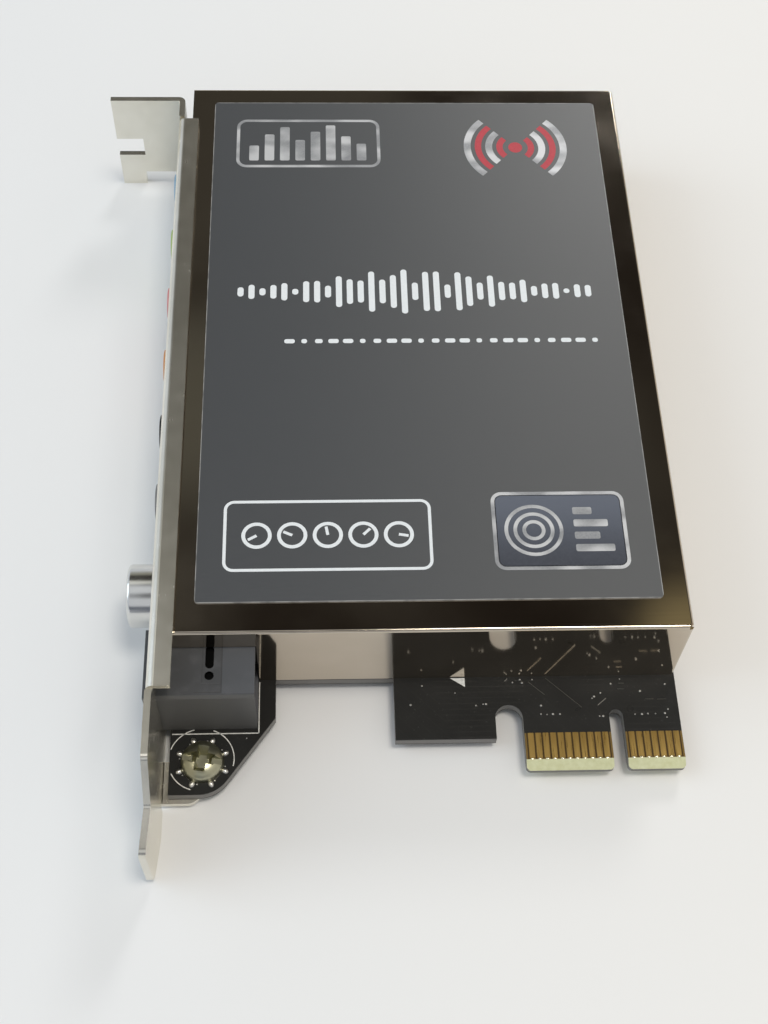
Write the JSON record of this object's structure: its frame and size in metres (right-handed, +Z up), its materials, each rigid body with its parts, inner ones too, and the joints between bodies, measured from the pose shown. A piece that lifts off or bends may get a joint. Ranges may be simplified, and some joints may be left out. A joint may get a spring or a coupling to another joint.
{
  "type": "sound card",
  "caption": "Internal sound card for a short serial slot, with a polished shield cover, a printed film on it, and a slot bracket with coloured plug sockets, a coaxial and an optical socket.",
  "frame": {"origin": "middle of the footprint, on the surface the card lies on", "axes": "+X from the bracket to the card's free side, +Y from the edge connector to the far edge, +Z up out of the shield cover"},
  "size_m": [0.081, 0.1244, 0.0184],
  "materials": {
    "black_board": "black solder mask over woven laminate",
    "gold": "gold plating",
    "black_nickel": "polished black nickel",
    "grey_film": "printed matt film",
    "bracket_steel": "satin zinc plate",
    "screw_nickel": "nickel plate",
    "bright_nickel": "polished nickel",
    "dark_plastic": "moulded",
    "grey_plastic": "moulded, fine texture",
    "shutter_plastic": "moulded",
    "spring_steel": "drawn wire",
    "clear_plastic": "tinted, moulded",
    "tinned": "tin plate",
    "chip_plastic": "moulded, fine texture",
    "can_aluminium": "drawn can",
    "jack_grey": "moulded",
    "jack_black": "moulded",
    "jack_orange": "moulded",
    "jack_pink": "moulded",
    "jack_lime": "moulded",
    "jack_blue": "moulded"
  },
  "bodies": {
    "card": {"board": "black_board", "front_contacts": "gold", "rear_contacts": "gold", "shield_cover": "black_nickel", "cover_label": "grey_film", "bracket": "bracket_steel", "lower_screw": "screw_nickel", "upper_screw": "screw_nickel", "coax_shell": "bright_nickel", "coax_insulator": "dark_plastic", "coax_centre": "bright_nickel", "coax_housing": "dark_plastic", "optical_housing": "grey_plastic", "optical_emitter": "clear_plastic", "emitter_leads": "tinned", "audio_processor": "chip_plastic", "converter_chip": "chip_plastic", "memory_chip": "chip_plastic", "output_amplifiers": "chip_plastic", "crystal_can": "bright_nickel", "voltage_regulator": "chip_plastic", "capacitor_bases": "dark_plastic", "capacitor_cans": "can_aluminium", "solder_joints": "tinned", "side_out_jack": "jack_grey", "rear_out_jack": "jack_black", "centre_out_jack": "jack_orange", "microphone_jack": "jack_pink", "front_out_jack": "jack_lime", "line_in_jack": "jack_blue", "side_out_springs": "tinned", "rear_out_springs": "tinned", "centre_out_springs": "tinned", "microphone_springs": "tinned", "front_out_springs": "tinned", "line_in_springs": "tinned"},
    "shutter": {"optical_shutter": "shutter_plastic", "shutter_spring": "spring_steel"}
  },
  "joints": [
    {"name": "shutter_hinge", "type": "hinge", "parent": "card", "child": "shutter", "pos_m": [-0.02836, -0.03773, 0.01178], "axis": [0, -1, 0], "range_deg": [0, 85], "stiffness_Nm_per_rad": 0.0001, "springref_deg": -28.65}
  ]
}
